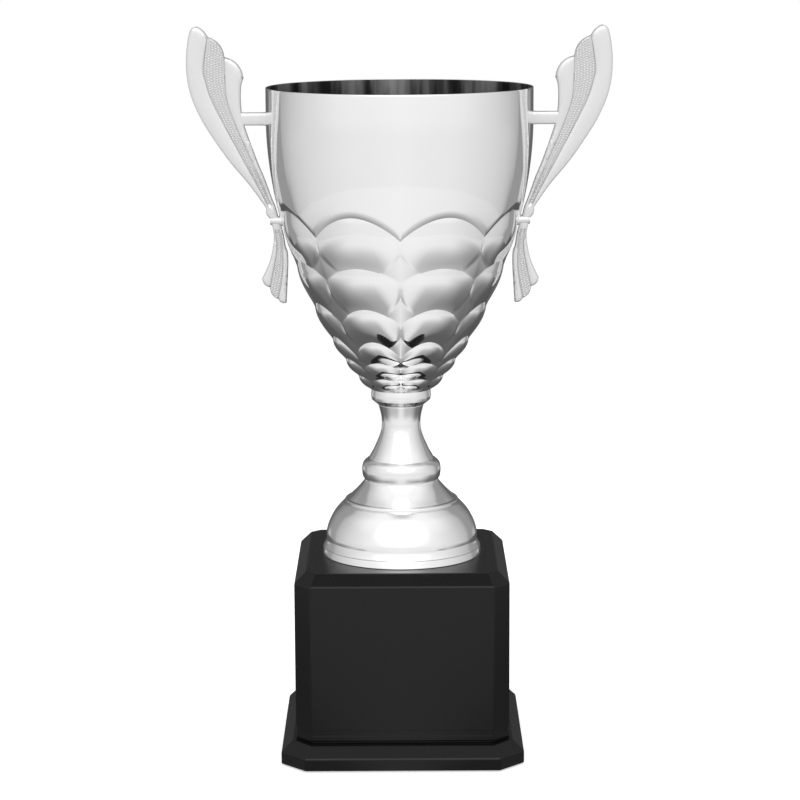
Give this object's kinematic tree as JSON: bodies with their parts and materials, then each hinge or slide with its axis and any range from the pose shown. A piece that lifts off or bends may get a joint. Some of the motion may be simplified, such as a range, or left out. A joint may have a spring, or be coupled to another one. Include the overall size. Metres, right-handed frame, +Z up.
{
  "type": "cup trophy",
  "caption": "Two-handled cup trophy: scalloped metal bowl on a turned stem and bell foot, clamped by a rod to a weighted black plinth.",
  "frame": {"origin": "on the floor, under the middle of the plinth and on the tie rod's axis", "axes": "+Z up along the tie rod, from the plinth to the cup; the handles lie along -X and +X; the plinth's front face looks along -Y"},
  "size_m": [0.2224, 0.14, 0.3842],
  "materials": {
    "polished_sheet": "mirror polished",
    "bright_plastic": "metallised, satin",
    "riser_chrome": "chromed, polished",
    "zinc_plate": "zinc plated",
    "gloss_black": "high gloss",
    "cast_weight": "cast, rough",
    "cover_plastic": "fine matt",
    "pad_rubber": "matt"
  },
  "bodies": {
    "root": {"bowl": "polished_sheet", "handle_left": "bright_plastic", "handle_right": "bright_plastic", "handle_screws": "zinc_plate", "handle_washers": "zinc_plate", "bowl_nut": "zinc_plate", "bowl_washer": "zinc_plate", "collar": "riser_chrome", "stem": "riser_chrome", "bead_ring": "riser_chrome", "foot_cone": "riser_chrome", "foot_bell": "polished_sheet", "foot_ring": "riser_chrome", "tie_rod": "zinc_plate", "rod_washer": "zinc_plate", "rod_nut": "zinc_plate", "plinth_body": "gloss_black", "plinth_skirt": "gloss_black", "ballast": "cast_weight", "ballast_screws": "zinc_plate", "bottom_cover": "cover_plastic", "base_screws": "zinc_plate", "foot_pads": "pad_rubber"}
  },
  "joints": []
}
